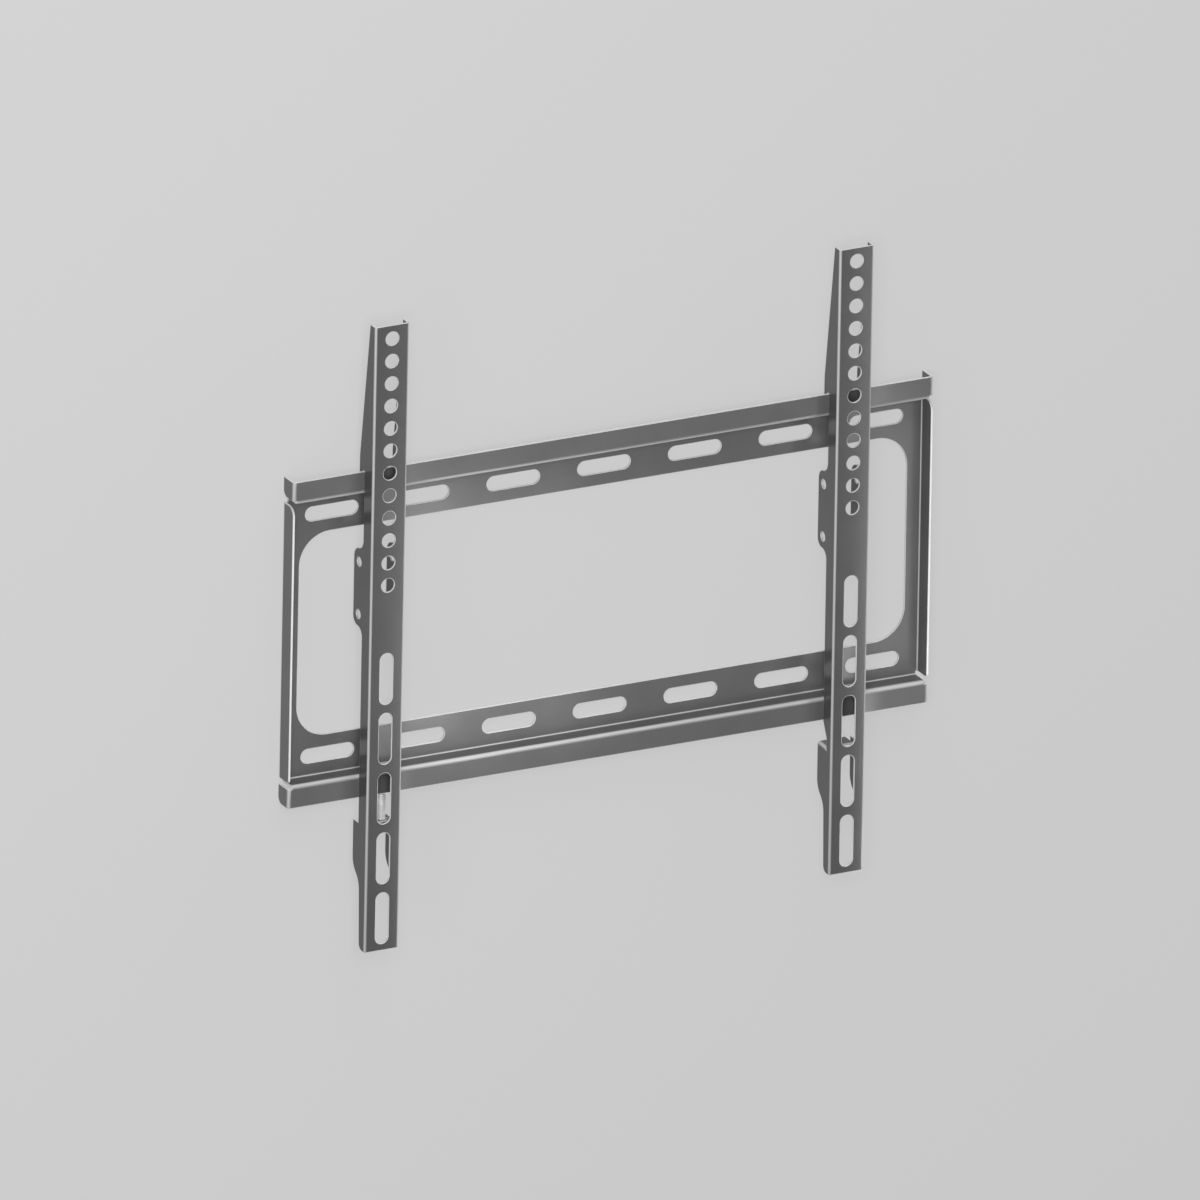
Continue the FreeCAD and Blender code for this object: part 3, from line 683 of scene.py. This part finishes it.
# %% [markdown]
# ## Cross recess
# A screwdriver turns the screw by a tapered cross that was punched into its head. A boolean could cut
# it, but that leaves ragged faces round the cut. Here the head's flat end is inset once, so that its rim
# stays whole, eight straight cuts draw the cross on it, and the faces inside the cross are pushed in
# and narrowed.

# %% Cross recess
HEAD_HEIGHT = 0.0046
HEAD_EDGE = 0.0003
RECESS_SPAN = 0.0052
RECESS_WIDTH = 0.0012
RECESS_DEPTH = 0.0022
RECESS_ANGLE = math.radians(8)
RECESS_LEAN = RECESS_DEPTH * math.tan(RECESS_ANGLE)


def each_once(items):
    """The items in their order, each of them once."""
    return list(dict.fromkeys(items))


def faces_on_end(shape, rim):
    """The faces of the head's flat end inside its rim."""
    return [face for face in shape.faces if face not in rim
            and abs(face.calc_center_median().z + HEAD_HEIGHT) < MERGE_DISTANCE]


def in_cross(face):
    """Whether a face of the head's end lies in the cross."""
    middle = face.calc_center_median()
    narrow, wide = sorted((abs(middle.x), abs(middle.y)))
    return narrow < RECESS_WIDTH / 2 and wide < RECESS_SPAN / 2


def cut_recess(shape, disc):
    """A tapered cross recess in the head's flat end."""
    rim = set(bmesh.ops.inset_region(shape, faces=[disc], use_boundary=True, thickness=HEAD_EDGE)["faces"])
    for axis in (Vector((1, 0, 0)), Vector((0, 1, 0))):
        for offset in (-RECESS_SPAN / 2, -RECESS_WIDTH / 2, RECESS_WIDTH / 2, RECESS_SPAN / 2):
            cells = faces_on_end(shape, rim)
            edges = each_once(edge for face in cells for edge in face.edges)
            corners = each_once(corner for face in cells for corner in face.verts)
            place = axis * offset - Vector((0, 0, HEAD_HEIGHT))
            bmesh.ops.bisect_plane(shape, geom=[*cells, *edges, *corners], plane_co=place, plane_no=axis)
    cross = [face for face in faces_on_end(shape, rim) if in_cross(face)]
    outline = each_once(edge for face in cross for edge in face.edges)
    grown = bmesh.ops.extrude_face_region(shape, geom=[*cross, *outline])["geom"]
    for corner in [part for part in grown if isinstance(part, bmesh.types.BMVert)]:
        corner.co.z += RECESS_DEPTH
        corner.co.x -= math.copysign(RECESS_LEAN, corner.co.x)
        corner.co.y -= math.copysign(RECESS_LEAN, corner.co.y)


print("recess narrows by", round(RECESS_LEAN * 1000, 2), "mm a side")

# %% [markdown]
# ## Pan head and whole screw
# A pan head is upset from the wire and pressed, with a rounded crown and a flat seat. It could be spun
# from a profile, but a spin would end in a pole where the cross has to go. So the head starts as a flat
# disc that takes the cross, and the disc's rim is extruded ring by ring over the crown, down the side
# and in along the seat. A bridge then joins the seat to the first turn of the thread.

# %% Head and screws
HEAD_ROUND = 0.0018
HEAD_SEGMENTS = 64
CROWN_STEPS = 8
QUARTER_TURN = math.radians(90)
SHARP_ANGLE = math.radians(35)


def extrude_ring(shape, ring, radius, height):
    """A further ring of edges at a radius and height, joined to the ring before."""
    grown = bmesh.ops.extrude_edge_only(shape, edges=ring)["geom"]
    corners = [part for part in grown if isinstance(part, bmesh.types.BMVert)]
    for corner in corners:
        outwards = corner.co.xy.normalized() * radius
        corner.co = (outwards.x, outwards.y, height)
    return each_once(edge for corner in corners for edge in corner.link_edges
                     if edge.other_vert(corner) in corners)


def form_head(shape, head_radius):
    """The pan head, and the open ring of its seat round the shaft."""
    flat = head_radius - HEAD_ROUND
    place = Matrix.Translation((0, 0, -HEAD_HEIGHT)) @ Matrix.Rotation(math.pi, 4, "X")
    disc = bmesh.ops.create_circle(shape, cap_ends=True, segments=HEAD_SEGMENTS, radius=flat, matrix=place)
    cut_recess(shape, disc["verts"][0].link_faces[0])
    ring = loop_at(shape, -HEAD_HEIGHT)
    for step in range(1, CROWN_STEPS + 1):
        turn = QUARTER_TURN * step / CROWN_STEPS
        ring = extrude_ring(shape, ring, flat + HEAD_ROUND * math.sin(turn),
                            HEAD_ROUND * (1 - math.cos(turn)) - HEAD_HEIGHT)
    ring = extrude_ring(shape, ring, head_radius, -HEAD_EDGE)
    ring = extrude_ring(shape, ring, head_radius - HEAD_EDGE, 0)
    return extrude_ring(shape, ring, SCREW_RADIUS, 0)


def make_screw(node):
    """A locking screw where its CAD node is."""
    low, high = (Vector(corner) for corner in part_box(node))
    axis = (low + high) / 2
    seat = low.z + HEAD_HEIGHT
    length = high.z - seat
    shape = bmesh.new()
    wind_thread(shape, NECK_LENGTH, length)
    point_tip(shape, length)
    ring = form_head(shape, (high.x - low.x) / 2)
    bmesh.ops.bridge_loops(shape, edges=ring + loop_at(shape, NECK_LENGTH))
    bmesh.ops.recalc_face_normals(shape, faces=shape.faces)
    bmesh.ops.translate(shape, verts=shape.verts, vec=(axis.x, axis.y, seat))
    for face in shape.faces:
        face.smooth = True
    open_edges = sum(not edge.is_manifold for edge in shape.edges)
    screw = new_object(f"{node}_threaded", shape)
    screw.data.set_sharp_from_angle(angle=SHARP_ANGLE)
    print(screw.name, len(screw.data.polygons), "faces,", open_edges, "open edges")
    return screw


screws = {name: make_screw(name) for name in ("left_locking_screw", "right_locking_screw")}

# %% [markdown]
# ## Zinc plate
# The screws are steel with a thin bright coat of zinc, a cool pale grey. A fully metallic shader would
# show only reflections and turn dark inside the arm's channel. Plated zinc settles as small crystals,
# which scatter about half of the light, so the shader is only about half metallic. The same uneven
# finish serves, far finer than on the powder, and it changes the tone and the gloss a little from spot
# to spot.

# %% Zinc plate
ZINC_GRAIN = 0.00025
ZINC_PATCH = 0.004
ZINC_BUMP = 0.000003
ZINC_GLOSS = (0.44, 0.60)
ZINC_METALLIC = 0.55
ZINC_TONES = ((0.84, 0.845, 0.85), (0.95, 0.953, 0.956))


def zinc_plate():
    """Bright zinc on steel."""
    material, tree, end = new_material("zinc_plate")
    finish = add_finish(tree, ZINC_PATCH, ZINC_GRAIN)
    ramp = add_ramp(tree, *ZINC_TONES)
    bump = add_node(tree, "ShaderNodeBump", Distance=ZINC_BUMP)
    metal = add_node(tree, "ShaderNodeBsdfPrincipled", Metallic=ZINC_METALLIC)
    join(tree, finish, "Patches", ramp, "Fac")
    join(tree, finish, "Grain", bump, "Height")
    join(tree, ramp, "Color", metal, "Base Color")
    join(tree, add_gloss(tree, finish, ZINC_GLOSS), "Result", metal, "Roughness")
    join(tree, bump, "Normal", metal, "Normal")
    join(tree, metal, "BSDF", end, "Surface")
    return material


bright_zinc = zinc_plate()
for name, screw in screws.items():
    screw.data.materials.append(bright_zinc)
    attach(screw, name)
    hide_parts(name)
    print(screw.name, "rides on", name)
